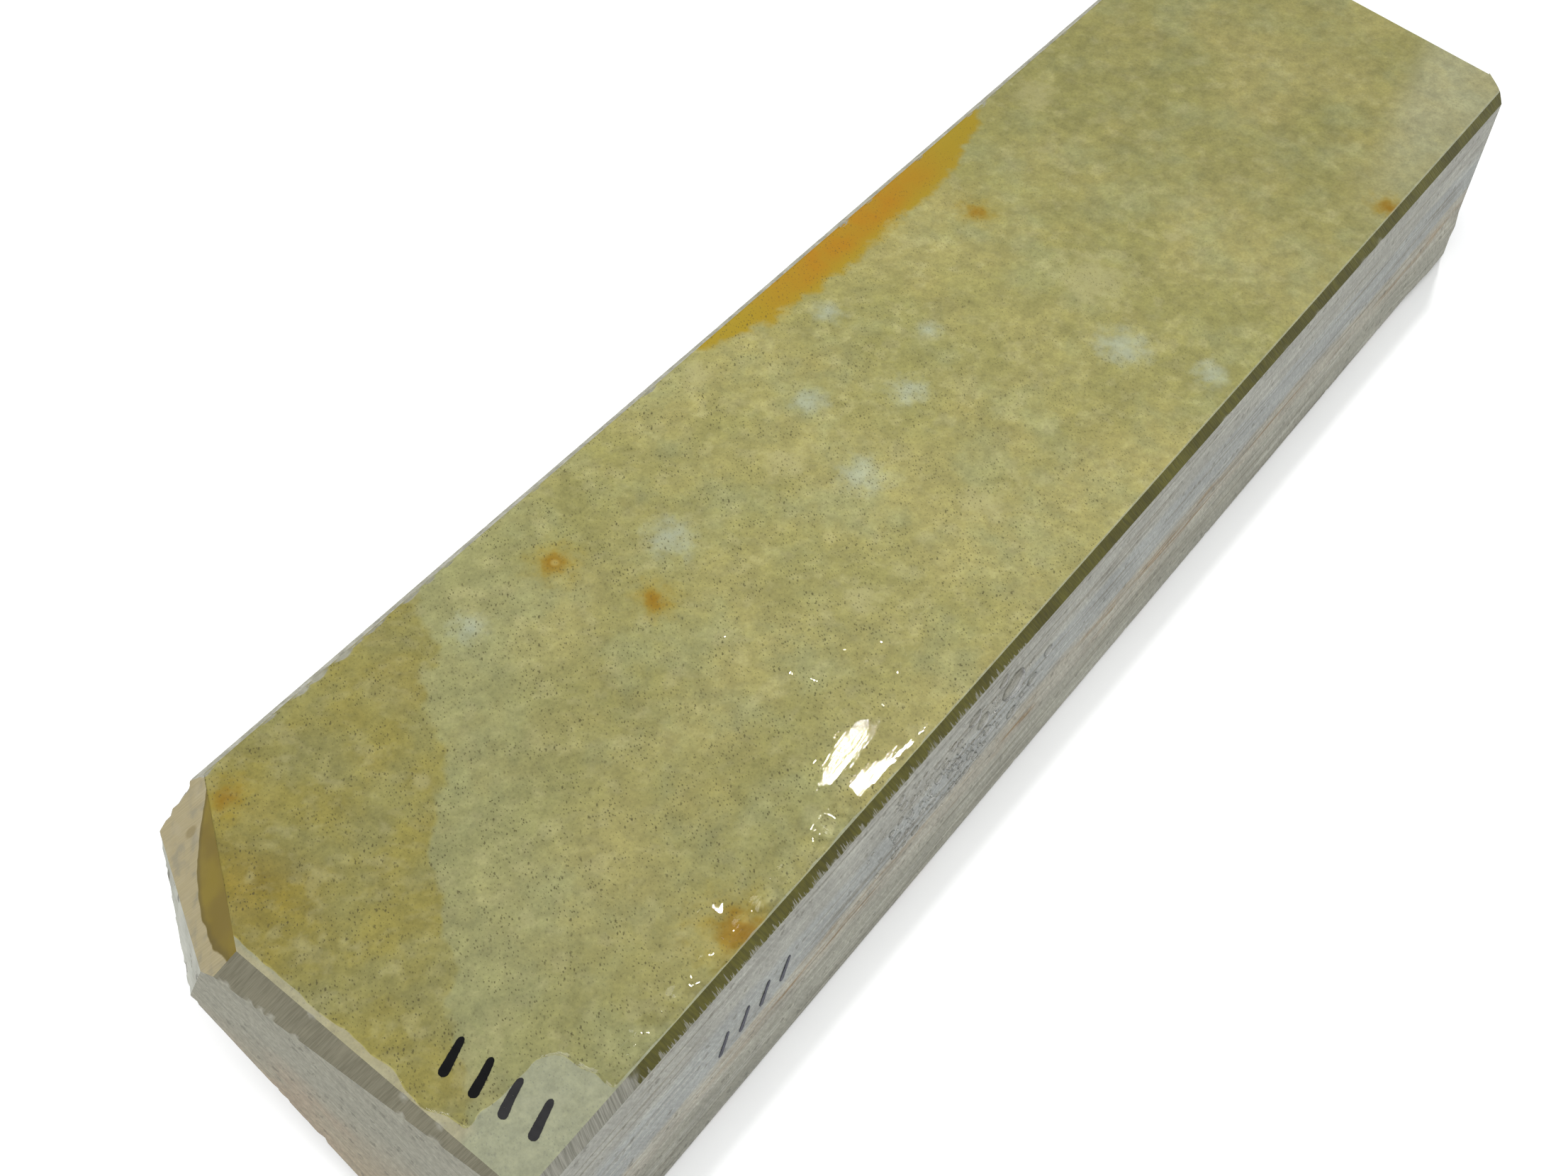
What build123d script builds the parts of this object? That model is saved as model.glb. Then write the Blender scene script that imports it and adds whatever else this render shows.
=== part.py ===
from build123d import *

import math
import os
import random

# A natural bench whetstone: one hand-cut block of bedded sedimentary rock, wetted for use.
# X runs along the length, Y across, and Z up. The origin is at the middle of the base, on the surface
# that the stone rests on. The working face is the top one. Everything is in millimetres.

# Driving dimensions of the block
LENGTH = 206.0
THICKNESS = 27.6
RIGHT_SIDE_Y = -26.4
LEFT_SIDE_Y = 26.9
NEAR_X = -LENGTH / 2
FAR_X = LENGTH / 2

# The far end was sawn a little out of square
FAR_SKEW_DEG = 6.8
FAR_CORNER_Y = 14.5

# The corners that are knocked off square to the base: how far each cut runs along the end and the side
NEAR_RIGHT_CLIP = (2.6, 2.6)
FAR_RIGHT_CLIP = (4.6, 5.0)
FAR_LEFT_CLIP = (8.0, 12.4)

# Arrises
RIGHT_CHAMFER = 1.0
LEFT_CHAMFER = 1.5
FAR_CHAMFER = 1.0
BASE_CHAMFER = 0.5
FRONT_CHAMFER_LEFT = 2.3
FRONT_CHAMFER_LEFT_Y = 9.1
FRONT_CHAMFER_RIGHT = 0.8
FRONT_CHAMFER_RIGHT_Y = -20.7

# The near left corner: a sloping bevel off the working face above a leaning facet
BEVEL_ON_TOP = ((-89.2, 25.4), (-101.0, 9.0))
BEVEL_DROP = 4.9
FACET_TOP_LEFT = (-94.3, LEFT_SIDE_Y, THICKNESS - BEVEL_DROP)
FACET_TOP_FRONT = (NEAR_X, 11.7, 25.4)
FACET_FOOT = (NEAR_X, 14.9, 16.8)

# The natural skin under the left half: it rises to the near left corner, and runs out on the base's left edge
SKIN_ON_FRONT = (NEAR_X, -3.5, 5.9)
SKIN_END = (16.5, LEFT_SIDE_Y, 0.0)

# The water that lies on the stone
FILM = 0.25
FILM_INSET = 0.3
DRY_PATCH_TO = (-90.3, -18.1)
DRY_PATCH_ROUNDING = 2.8

# The two rows of pen strokes. FIRST is where a row starts, PITCH is from one stroke to the next, and LEAN is
# one stroke's run: along and across the stone on top, along and up on the side
INK = 0.05
STROKE_COUNT = 4
TOP_STROKE_FIRST = (-98.2, -12.8)
TOP_STROKE_PITCH = (0.1, -3.3)
TOP_STROKE_LEAN = (3.3, 0.9)
TOP_STROKE_WIDTH = 0.8
SIDE_STROKE_FIRST = (-75.6, 13.4)
SIDE_STROKE_PITCH = (3.2, 0.4)
SIDE_STROKE_LEAN = (0.9, 3.0)
SIDE_STROKE_WIDTH = 0.5

# Drops on the long side: where along and how high each large one is, and its radius
LARGE_BEADS = (
    (-25.6, 20.6, 2.0),
    (-28.4, 24.0, 0.9),
    (-33.6, 23.0, 1.1),
    (-31.3, 20.2, 1.1),
    (-20.8, 16.7, 0.9),
    (-18.3, 19.2, 0.8),
    (-24.3, 14.4, 0.9),
    (-29.7, 16.8, 0.7),
)
BEAD_COUNT = 36
BEAD_GAP = 0.25
BEAD_FLATNESS = 0.35
SMALL_BEAD_RADIUS = (0.45, 0.7)
SMALL_BEADS_ALONG = (-48.0, -29.0)
SMALL_BEADS_UP = (12.0, 24.0)
BEAD_SEED = 11


def shave(solid, point, normal):
    """The solid without what lies on the side of the plane through point that normal points to."""
    plane = Plane(origin=Vector(*point), z_dir=Vector(*normal))
    return split(solid, bisect_by=plane, keep=Keep.BOTTOM)


def normal_of(a, b, c, towards):
    """The unit normal of the plane through three points, on the side of the vector towards."""
    normal = (Vector(*b) - Vector(*a)).cross(Vector(*c) - Vector(*a)).normalized()
    return normal if normal.dot(Vector(*towards)) > 0 else -normal


def prism(points, low, high):
    """A closed outline in plan, raised from the height low to the height high."""
    face = make_face(Polyline(*points, close=True))
    return Pos(0, 0, low) * extrude(face, amount=high - low)


def far_end_x(y):
    """Where the far end's plane lies at a distance y across the stone."""
    return FAR_X - (FAR_CORNER_Y - y) * math.tan(math.radians(FAR_SKEW_DEG))


def outline():
    """The block's plan, anticlockwise from the near right corner, with the near left corner still square."""
    far_right_y = RIGHT_SIDE_Y + FAR_RIGHT_CLIP[1]
    far_right_x = far_end_x(far_right_y)
    return [
        (NEAR_X, RIGHT_SIDE_Y + NEAR_RIGHT_CLIP[1]),
        (NEAR_X + NEAR_RIGHT_CLIP[0], RIGHT_SIDE_Y),
        (far_right_x - FAR_RIGHT_CLIP[0], RIGHT_SIDE_Y),
        (far_right_x, far_right_y),
        (FAR_X, FAR_CORNER_Y),
        (FAR_X - FAR_LEFT_CLIP[0], FAR_CORNER_Y + FAR_LEFT_CLIP[1]),
        (NEAR_X, LEFT_SIDE_Y),
    ]


def chamfer_top(solid):
    """Breaks the top arrises of both long sides, the far end and its corner."""
    cuts = [
        ((0, RIGHT_SIDE_Y + RIGHT_CHAMFER, THICKNESS), (0, -1, 1)),
        ((0, LEFT_SIDE_Y - LEFT_CHAMFER, THICKNESS), (0, 1, 1)),
    ]
    skew = math.radians(FAR_SKEW_DEG)
    cuts.append(((FAR_X - FAR_CHAMFER, FAR_CORNER_Y, THICKNESS), (math.cos(skew), -math.sin(skew), 1)))
    for point, normal in cuts:
        solid = shave(solid, point, normal)
    return solid


def chamfer_front(solid):
    """Breaks the front top arris, wide at the left and narrow at the right."""
    left = (NEAR_X + FRONT_CHAMFER_LEFT, FRONT_CHAMFER_LEFT_Y, THICKNESS)
    right = (NEAR_X + FRONT_CHAMFER_RIGHT, FRONT_CHAMFER_RIGHT_Y, THICKNESS)
    below_left = (NEAR_X, FRONT_CHAMFER_LEFT_Y, THICKNESS - FRONT_CHAMFER_LEFT)
    return shave(solid, left, normal_of(left, right, below_left, (-1, 0, 1)))


def cut_near_left(solid):
    """Cuts the facet, the bevel above it and the natural skin below it."""
    facet = normal_of(FACET_TOP_LEFT, FACET_TOP_FRONT, FACET_FOOT, (-1, 1, 0))
    solid = shave(solid, FACET_FOOT, facet)
    first, second = [(x, y, THICKNESS) for x, y in BEVEL_ON_TOP]
    solid = shave(solid, first, normal_of(first, second, FACET_TOP_LEFT, (-1, 1, 1)))
    skin = normal_of(FACET_FOOT, SKIN_ON_FRONT, SKIN_END, (0, 0, -1))
    return shave(solid, FACET_FOOT, skin)


def chamfer_base(solid):
    """Takes the sharpness off the base's arrises."""
    for point, normal in (
        ((0, RIGHT_SIDE_Y, BASE_CHAMFER), (0, -1, -1)),
        ((NEAR_X, 0, BASE_CHAMFER), (-1, 0, -1)),
    ):
        solid = shave(solid, point, normal)
    return solid


def stone_block():
    """The block: sawn sides and ends, hand-cut corners and a natural underside."""
    solid = prism(outline(), 0, THICKNESS)
    solid = chamfer_top(solid)
    solid = chamfer_front(solid)
    solid = cut_near_left(solid)
    return chamfer_base(solid)


def working_face(block):
    """The block's flat top face."""
    return block.faces().sort_by(Axis.Z)[-1]


def water_film(block, ink):
    """The sheet of water on the working face, which stops short of a dry patch at the near right corner."""
    edge = working_face(block).outer_wire()
    sheet = make_face(offset(edge, amount=-FILM_INSET, kind=Kind.INTERSECTION))
    film = extrude(sheet, amount=FILM, dir=(0, 0, 1))
    length = DRY_PATCH_TO[0] - NEAR_X
    width = DRY_PATCH_TO[1] - RIGHT_SIDE_Y
    patch = RectangleRounded(2 * length, 2 * width, DRY_PATCH_ROUNDING)
    return film - Pos(NEAR_X, RIGHT_SIDE_Y, THICKNESS) * extrude(patch, amount=2 * FILM) - ink


def stroke(start, end, width):
    """A pen stroke's outline in plan, with round ends."""
    along = Vector(*end) - Vector(*start)
    middle = (Vector(*end) + Vector(*start)) / 2
    slot = SlotCenterToCenter(along.length, width)
    turn = math.degrees(math.atan2(along.Y, along.X))
    return Pos(middle.X, middle.Y) * Rot(0, 0, turn) * slot


def tally(first, pitch, lean, width):
    """A row of parallel pen strokes, in plan."""
    strokes = []
    for i in range(STROKE_COUNT):
        x = first[0] + i * pitch[0]
        y = first[1] + i * pitch[1]
        strokes.append(stroke((x, y), (x + lean[0], y + lean[1]), width))
    return strokes


def top_tally_ink():
    """Four strokes of marker ink by the near right corner, half under the water and half on the dry patch."""
    flat = tally(TOP_STROKE_FIRST, TOP_STROKE_PITCH, TOP_STROKE_LEAN, TOP_STROKE_WIDTH)
    return Compound([Pos(0, 0, THICKNESS) * extrude(s, amount=INK) for s in flat])


def side_tally_ink():
    """The same four strokes, small and worn, on the long side."""
    flat = tally(SIDE_STROKE_FIRST, SIDE_STROKE_PITCH, SIDE_STROKE_LEAN, SIDE_STROKE_WIDTH)
    side = Plane(origin=(0, RIGHT_SIDE_Y, 0), x_dir=(1, 0, 0), z_dir=(0, -1, 0))
    return Compound([side * extrude(s, amount=INK) for s in flat])


def bead(x, z, radius, height):
    """A drop of water clinging to the long side: a shallow cap of a sphere."""
    sphere_radius = (radius**2 + height**2) / (2 * height)
    centre_y = RIGHT_SIDE_Y + sphere_radius - height
    ball = Pos(x, centre_y, z) * Sphere(sphere_radius)
    return split(ball, bisect_by=Plane(origin=(0, RIGHT_SIDE_Y, 0), z_dir=(0, -1, 0)), keep=Keep.TOP)


def side_water_beads():
    """The drops on the long side: a few large ones, and small ones scattered between them."""
    placed = list(LARGE_BEADS)
    scatter = random.Random(BEAD_SEED)
    while len(placed) < BEAD_COUNT:
        x = scatter.uniform(*SMALL_BEADS_ALONG)
        z = scatter.uniform(*SMALL_BEADS_UP)
        radius = scatter.uniform(*SMALL_BEAD_RADIUS)
        if all(math.hypot(x - a, z - b) > radius + r + BEAD_GAP for a, b, r in placed):
            placed.append((x, z, radius))
    return Compound([bead(x, z, r, BEAD_FLATNESS * r) for x, z, r in placed])


def main():
    os.makedirs("parts", exist_ok=True)
    block = stone_block()
    top_ink = top_tally_ink()
    nodes = {
        "stone_block": block,
        "water_film": water_film(block, top_ink),
        "side_water_beads": side_water_beads(),
        "top_tally_ink": top_ink,
        "side_tally_ink": side_tally_ink(),
    }
    for name, solid in nodes.items():
        export_step(solid, f"parts/{name}.step")
        print(name, round(solid.volume, 2), "mm3")


main()
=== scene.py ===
import functools
import itertools
import math
import random

import bmesh
import bpy
import numpy as np
from mathutils import Matrix, Vector


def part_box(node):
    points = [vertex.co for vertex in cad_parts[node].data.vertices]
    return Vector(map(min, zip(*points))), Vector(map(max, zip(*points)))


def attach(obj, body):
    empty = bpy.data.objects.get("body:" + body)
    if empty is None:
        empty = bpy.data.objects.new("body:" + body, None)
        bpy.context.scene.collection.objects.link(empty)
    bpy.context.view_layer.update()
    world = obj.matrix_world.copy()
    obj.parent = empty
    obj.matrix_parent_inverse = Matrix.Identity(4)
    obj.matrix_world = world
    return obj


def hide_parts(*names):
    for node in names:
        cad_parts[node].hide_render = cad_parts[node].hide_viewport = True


# A wet natural whetstone on a pale floor, in the model's own frame: X along the stone, Y across it, Z up.
# The lights and the floor are in metres, and all the rest is in millimetres until it becomes a mesh.

MM = 0.001
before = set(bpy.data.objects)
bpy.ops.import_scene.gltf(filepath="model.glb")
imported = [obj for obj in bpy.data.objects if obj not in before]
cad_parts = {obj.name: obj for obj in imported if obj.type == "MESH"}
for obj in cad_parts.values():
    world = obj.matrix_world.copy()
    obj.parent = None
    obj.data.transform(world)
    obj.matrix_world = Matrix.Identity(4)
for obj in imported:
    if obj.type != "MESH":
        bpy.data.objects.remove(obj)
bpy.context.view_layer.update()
STONE_LOW, STONE_HIGH = (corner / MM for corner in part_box("stone_block"))
TOP = STONE_HIGH.z
NEAR, FAR = STONE_LOW.x, STONE_HIGH.x
RIGHT, LEFT = STONE_LOW.y, STONE_HIGH.y

# The camera stands off the near right corner and looks down along the stone
CAMERA_AT_MM = (-158.95, -78.94, 199.34)
CAMERA_LOOKS_AT_MM = (-35.5, -3.1, 27.6)
CAMERA_ROLL_DEG = 6.33
LENS_MM = 49.9
SENSOR_MM = 36.0

# Each light: where it stands and what it aims at, how wide it is, and its watts. The water catches the lamp
LIGHTS = {
    "above": ((-0.5, -0.1, 1.25), (0, 0, 0), 0.8, 11.0),
    "behind": ((-0.15, 1.0, 0.95), (0, 0, 0), 0.8, 6.5),
    "beside": ((-0.35, -1.1, 0.8), (0, 0, 0), 0.9, 4.5),
    "lamp": ((0.41, 0.07, 0.76), (-0.05, -0.02, 0), 0.04, 2.2),
}

# The room, and the dark flag in it: which way it hangs, how far round that it is full and where it ends
ROOM_COLOUR = (0.95, 0.98, 1.0, 1)
ROOM_BRIGHTNESS = 0.64
FLAG_DIRECTION = (0.55, 0.32, 0.77)
FLAG_DEG = (30, 48)
FLAG_BRIGHTNESS = 0.12 * ROOM_BRIGHTNESS
FLOOR_HALF = 6.0


def link(obj):
    """Puts a new object in the scene and returns it."""
    bpy.context.scene.collection.objects.link(obj)
    return obj


def finish_piece(obj, node):
    """Makes a new piece move with the root, and hides the CAD node that it stands for."""
    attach(obj, "root")
    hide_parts(node)


# ---------------------------------------------------------------- camera, light and floor


def make_camera():
    """The camera, at the height and angle that the stone is seen from."""
    data = bpy.data.cameras.new("camera")
    data.sensor_width = SENSOR_MM
    data.lens = LENS_MM
    data.clip_start = 0.01
    camera = link(bpy.data.objects.new("camera", data))
    place = Vector(CAMERA_AT_MM) * MM
    look = Vector(CAMERA_LOOKS_AT_MM) * MM - place
    turn = look.to_track_quat("-Z", "Y").to_matrix().to_4x4()
    roll = Matrix.Rotation(math.radians(CAMERA_ROLL_DEG), 4, "Z")
    camera.matrix_world = Matrix.Translation(place) @ turn @ roll
    bpy.context.scene.camera = camera


def softbox(name, place, target, side, watts):
    """A square studio light that faces the target."""
    data = bpy.data.lights.new(name, "AREA")
    data.shape = "RECTANGLE"
    data.size = data.size_y = side
    data.energy = watts
    light = link(bpy.data.objects.new(name, data))
    aim = (Vector(target) - Vector(place)).to_track_quat("-Z", "Y").to_matrix().to_4x4()
    light.matrix_world = Matrix.Translation(place) @ aim


def make_room():
    """A pale room, and a dark flag that the level water mirrors, so that the wet rock's colour is deep."""
    world = bpy.data.worlds.new("room")
    world.use_nodes = True
    nodes, links = world.node_tree.nodes, world.node_tree.links
    away = nodes.new("ShaderNodeTexCoord").outputs["Generated"]
    toward = nodes.new("ShaderNodeVectorMath")
    toward.operation = "DOT_PRODUCT"
    toward.inputs[1].default_value = Vector(FLAG_DIRECTION).normalized()
    links.new(away, toward.inputs[0])
    shade = nodes.new("ShaderNodeMapRange")
    shade.interpolation_type = "SMOOTHSTEP"
    shade.inputs["From Min"].default_value = math.cos(math.radians(FLAG_DEG[1]))
    shade.inputs["From Max"].default_value = math.cos(math.radians(FLAG_DEG[0]))
    shade.inputs["To Min"].default_value = ROOM_BRIGHTNESS
    shade.inputs["To Max"].default_value = FLAG_BRIGHTNESS
    links.new(toward.outputs["Value"], shade.inputs["Value"])
    background = nodes["Background"]
    background.inputs["Color"].default_value = ROOM_COLOUR
    links.new(shade.outputs[0], background.inputs["Strength"])
    bpy.context.scene.world = world


def make_light():
    """The room and the lights, shown without any tone curve."""
    make_room()
    for name, light in LIGHTS.items():
        softbox(name, *light)
    bpy.context.scene.view_settings.view_transform = "Standard"


def make_floor():
    """A plain pale floor, far larger than the picture."""
    mesh = bpy.data.meshes.new("floor")
    corners = [(x * FLOOR_HALF, y * FLOOR_HALF, 0) for x, y in ((-1, -1), (1, -1), (1, 1), (-1, 1))]
    mesh.from_pydata(corners, [], [(0, 1, 2, 3)])
    floor = link(bpy.data.objects.new("floor", mesh))
    material = bpy.data.materials.new("floor_paper")
    material.use_nodes = True
    shader = material.node_tree.nodes["Principled BSDF"]
    shader.inputs["Base Color"].default_value = (0.9, 0.9, 0.9, 1)
    shader.inputs["Roughness"].default_value = 0.9
    mesh.materials.append(material)


# ---------------------------------------------------------------- repeatable noise for the relief


def lattice(cell, seed):
    """A repeatable number from -1 to 1 for each row of whole numbers."""
    n = cell[:, 0] * 374761393 + cell[:, 1] * 668265263 + cell[:, 2] * 1440662683 + seed * 974634777
    n = (n ^ (n >> 13)) & 0xFFFFFFFF
    n = (n * 1274126177) & 0xFFFFFFFF
    return ((n ^ (n >> 16)) & 0xFFFF) / 32767.5 - 1


def value_noise(points, size, seed):
    """Smooth noise from -1 to 1 at each point. size is that of its features, one for all axes or one each."""
    scaled = points / np.asarray(size, float)
    cell = np.floor(scaled).astype(np.int64)
    part = scaled - cell
    part = part * part * (3 - 2 * part)
    total = np.zeros(len(points))
    for corner in itertools.product((0, 1), repeat=3):
        weight = np.prod(np.where(np.array(corner) == 1, part, 1 - part), axis=1)
        total += weight * lattice(cell + np.array(corner), seed)
    return total


def rough(points, size, seed, octaves=4, gain=0.5):
    """Value noise with finer and fainter noise on it."""
    size = np.asarray(size, float)
    total = np.zeros(len(points))
    for octave in range(octaves):
        total += gain**octave * value_noise(points, size / 2**octave, seed + octave)
    return total


def ease(values, low, high):
    """0 below low, 1 above high and smooth between, or the reverse where low is the larger."""
    t = np.clip((values - low) / (high - low), 0, 1)
    return t * t * (3 - 2 * t)


# ---------------------------------------------------------------- the stone's surfaces

# Which way each surface of the block faces, roughly: a CAD face takes the name that fits it best
SURFACES = {
    "top": (0, 0, 1),
    "underside": (0, 0, -1),
    "right_side": (0, -1, 0),
    "left_side": (0, 1, 0),
    "near_end": (-1, 0, 0),
    "far_end": (1, -0.12, 0),
    "right_chamfer": (0, -1, 1),
    "left_chamfer": (0, 1, 1),
    "near_chamfer": (-1, 0, 1),
    "far_chamfer": (1, -0.12, 1),
    "near_right_clip": (-1, -1, 0),
    "far_right_clip": (1, -1, 0),
    "far_left_clip": (1.5, 1, 0),
    "right_base": (0, -1, -1),
    "near_base": (-1, 0, -1),
    "bevel": (-1, 0.72, 1.26),
    "facet": (-1, 0.61, 0.23),
    "skin": (-0.17, 0.5, -0.85),
}


def surface_name(normal):
    """The name of the surface that faces the way normal points."""
    return max(SURFACES, key=lambda name: normal.dot(Vector(SURFACES[name]).normalized()))


def saw_marks(p, along, pitch, depth, seed):
    """The faint regular ridges that a saw leaves, across the direction along."""
    phase = p @ np.asarray(along, float) / pitch + 0.6 * value_noise(p, 9, seed)
    return depth * np.sin(2 * math.pi * phase) * (0.5 + 0.5 * value_noise(p, 6, seed + 1))


# The soft beds: how high each lies at mid length, how it tilts, and how deep and wide its groove is
SOFT_BEDS = ((9.6, 0.006, 0.16, 0.35), (12.4, 0.004, 0.1, 0.3), (6.3, -0.004, 0.12, 0.4))


def bed_lines(x, z):
    """The thin soft beds that the saw opened as grooves on the long sides."""
    groove = np.zeros(len(x))
    for height, tilt, depth, width in SOFT_BEDS:
        wander = 0.5 * np.sin(x / 17 + height) + 0.25 * np.sin(x / 5.3 + 2 * height)
        groove -= depth * np.exp(-(((z - height - tilt * x - wander) / width) ** 2))
    return groove


def relief_long_side(p, seed):
    """A sawn long side: slightly wavy, with grooved beds and a lower edge that broke off rough."""
    x, z = p[:, 0], p[:, 2]
    wave = 0.1 * value_noise(p, (38, 60, 9), seed) + 0.03 * rough(p, (5, 5, 1.6), seed + 3)
    broken = ease(z, 2.2, 0.2) * (0.06 + 0.08 * rough(p, (8.0, 8.0, 2.0), seed + 7, 3))
    return wave + bed_lines(x, z) - np.maximum(broken, 0) + saw_marks(p, (1, 0, 0.35), 1.7, 0.012, seed + 9)


def relief_right_side(p):
    """The right side flares out a little at the foot of its far end."""
    flare = 0.7 * ease(p[:, 0], 74, 84) * ease(p[:, 2], 11, 7) * (0.8 + 0.3 * value_noise(p, 4, 5))
    return relief_long_side(p, 20) + flare


def relief_left_side(p):
    return relief_long_side(p, 40) - 0.15 + 0.15 * rough(p, 12, 45)


def relief_end(p):
    """A sawn and brushed end."""
    slanted = p @ np.array([[1, 0, 0], [0, 0.8, -0.6], [0, 0.6, 0.8]])
    brushed = 0.02 * value_noise(slanted, (5, 4.0, 0.7), 60)
    broken = ease(p[:, 2], 2.5, 0.2) * np.maximum(0.3 + 0.35 * rough(p, 3.5, 67, 3), 0)
    return 0.04 * value_noise(p, 14, 61) + brushed - broken


def relief_far_end(p):
    return relief_end(p) + saw_marks(p, (0, 0.5, 1), 2.1, 0.03, 70)


def relief_skin(p):
    """The natural skin, lumpy and pitted."""
    lumps = 0.55 * value_noise(p, (26, 13, 13), 80) + 0.22 * rough(p, (7, 5, 5), 83, 4, 0.55)
    return (lumps - 0.25) * (0.3 + 0.7 * ease(p[:, 0], NEAR, NEAR + 9))


def relief_underside(p):
    """The natural underside: it rests on its highest lumps."""
    lumps = 0.3 * value_noise(p, (22, 12, 12), 90) + 0.12 * rough(p, (5, 4, 4), 93, 4)
    return np.minimum(lumps - 0.2, 0)


def relief_bevel(p):
    """The bevel bulges a little, and its outer rim is broken."""
    outer = ease(p[:, 2], 25.2, 23.2)
    return 0.05 * value_noise(p, 3, 100) - outer * np.maximum(0.04 + 0.08 * rough(p, 1.6, 103, 3), 0)


def relief_facet(p):
    return 0.05 * value_noise(p, 5, 110) + 0.03 * rough(p, 1.4, 113, 2)


def relief_small(p):
    """A narrow chamfer or a knocked-off corner, a little nicked."""
    return -np.maximum(0.03 * rough(p, 1.6, 120, 3), 0)


def relief_clip(p):
    return 0.04 * value_noise(p, 4, 130) - 0.05 * np.maximum(rough(p, 1.8, 133, 3), 0)


RELIEF = {
    "right_side": relief_right_side,
    "left_side": relief_left_side,
    "near_end": relief_end,
    "far_end": relief_far_end,
    "skin": relief_skin,
    "underside": relief_underside,
    "bevel": relief_bevel,
    "facet": relief_facet,
    "near_right_clip": relief_clip,
    "far_right_clip": relief_clip,
    "far_left_clip": relief_clip,
    "right_chamfer": relief_small,
    "left_chamfer": relief_small,
    "near_chamfer": relief_small,
    "far_chamfer": relief_small,
    "right_base": relief_clip,
    "near_base": relief_clip,
}

# Chipped edges: from, to, the way a chip faces, how many, and the smallest and largest half width
CHIPPED_EDGES = (
    ((-102.9, 9.4, 25.2), (-102.9, -20.0, 26.7), (-1, 0, 0.6), 9, (0.2, 0.34)),
    ((-100.7, 9.1, 27.5), (-102.2, -20.5, 27.5), (-0.6, 0, 1), 4, (0.25, 0.4)),
    ((-94.3, 26.9, 22.8), (-89.6, 26.5, 26.2), (-0.5, 1, 0.7), 7, (0.25, 0.5)),
    ((-89.5, 25.6, 27.5), (-60.0, 25.6, 27.5), (0, 0.8, 1), 22, (0.4, 1.3)),
    ((-60.0, 25.8, 27.3), (96.0, 25.8, 27.3), (0, 0.8, 1), 50, (0.3, 0.9)),
    ((-100.0, -26.4, 26.7), (93.0, -26.4, 26.7), (0, -1, 0.7), 46, (0.25, 0.6)),
    ((-100.0, -26.3, 0.2), (93.0, -26.3, 0.2), (0, -1, -0.5), 24, (0.25, 0.6)),
    ((15.0, 26.9, 0.1), (94.0, 26.9, 0.1), (0, 1, -0.6), 22, (0.8, 3.0)),
    ((-102.9, -23.0, 0.3), (-102.9, -4.0, 0.3), (-1, 0, -0.7), 8, (0.6, 1.8)),
    ((-102.9, -3.5, 5.9), (-102.9, 14.8, 16.7), (-1, 0.4, -0.7), 5, (0.2, 0.45)),
    ((-102.9, 14.9, 16.8), (-94.4, 26.9, 22.6), (-1, 0.8, -0.5), 4, (0.2, 0.45)),
    ((-90.0, 26.9, 16.0), (10.0, 26.9, 0.8), (0, 1, -0.8), 30, (0.8, 2.6)),
    ((101.0, -20.0, 27.5), (102.5, 13.0, 27.5), (1, -0.1, 1), 14, (0.3, 1.0)),
    ((99.5, -20.0, 0.2), (102.8, 13.0, 0.2), (1, -0.1, -0.6), 14, (0.7, 2.2)),
    ((97.6, -21.6, 1.0), (97.6, -21.6, 26.0), (1, -0.5, 0), 10, (0.3, 0.9)),
    ((-103.0, -23.8, 1.0), (-103.0, -23.8, 26.0), (-1, -0.5, 0), 10, (0.3, 0.8)),
)
CHIP_DEPTH = 0.24
SHARP = math.radians(30)


def chips():
    """Each chip as a point on its edge, the way it faces and its half width."""
    places = random.Random(5)
    for start, end, facing, count, (small, large) in CHIPPED_EDGES:
        for _ in range(count):
            half_width = small + (large - small) * places.random() ** 2.2
            point = Vector(start).lerp(Vector(end), places.random())
            jitter = Vector([places.uniform(-0.3, 0.3) for _ in range(3)])
            yield np.array(point), np.array((Vector(facing).normalized() + jitter).normalized()), half_width


def shape_stone(points, planes):
    """Moves the points of the plain block onto the worn one. Also says how far each lies inside a chip.

    Each point moves along a line out of the block's core, as far as the nearest of the displaced surfaces.
    The relief fades out towards the edges, so that they stay crisp.
    """
    core = np.clip(points, (NEAR + 12, -15, 14), (FAR - 12, 12, 17))
    outward = points - core
    depths = np.sort([offset - points @ normal for _, normal, offset in planes], axis=0)
    inland = 0.1 + 0.9 * ease(depths[1], 0.0, 1.4)
    reach = np.full(len(points), 9.0)
    for name, normal, offset in planes:
        facing = outward @ normal
        seen = facing > 1e-3
        height = RELIEF[name](points) * inland if name in RELIEF else 0.0
        limit = (offset + height - core @ normal) / np.where(seen, facing, 1)
        reach = np.where(seen, np.minimum(reach, limit), reach)
    chipped = np.zeros(len(points))
    for point, normal, half_width in chips():
        close = np.linalg.norm(points - point, axis=1) < 2.5 * half_width
        facing = outward[close] @ normal
        depth = CHIP_DEPTH * half_width
        bowl = np.sum((points[close] - point) ** 2, axis=1) * depth / half_width**2
        limit = (point @ normal - depth + bowl - core[close] @ normal) / np.maximum(facing, 1e-3)
        before = reach[close]
        reach[close] = np.minimum(before, limit)
        chipped[close] = np.maximum(chipped[close], np.clip((before - limit) * 60, 0, 1))
    return core + outward * reach[:, None], chipped


def steps(low, high, coarse, fine, band):
    """Places from low to high, coarse apart, and fine apart within band of each end."""
    near_low = np.arange(low + fine, low + band, fine)
    middle = np.arange(low + band, high - band, coarse)
    near_high = np.arange(high - band, high, fine)
    return [float(v) for v in (*near_low, *middle, *near_high)]


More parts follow.
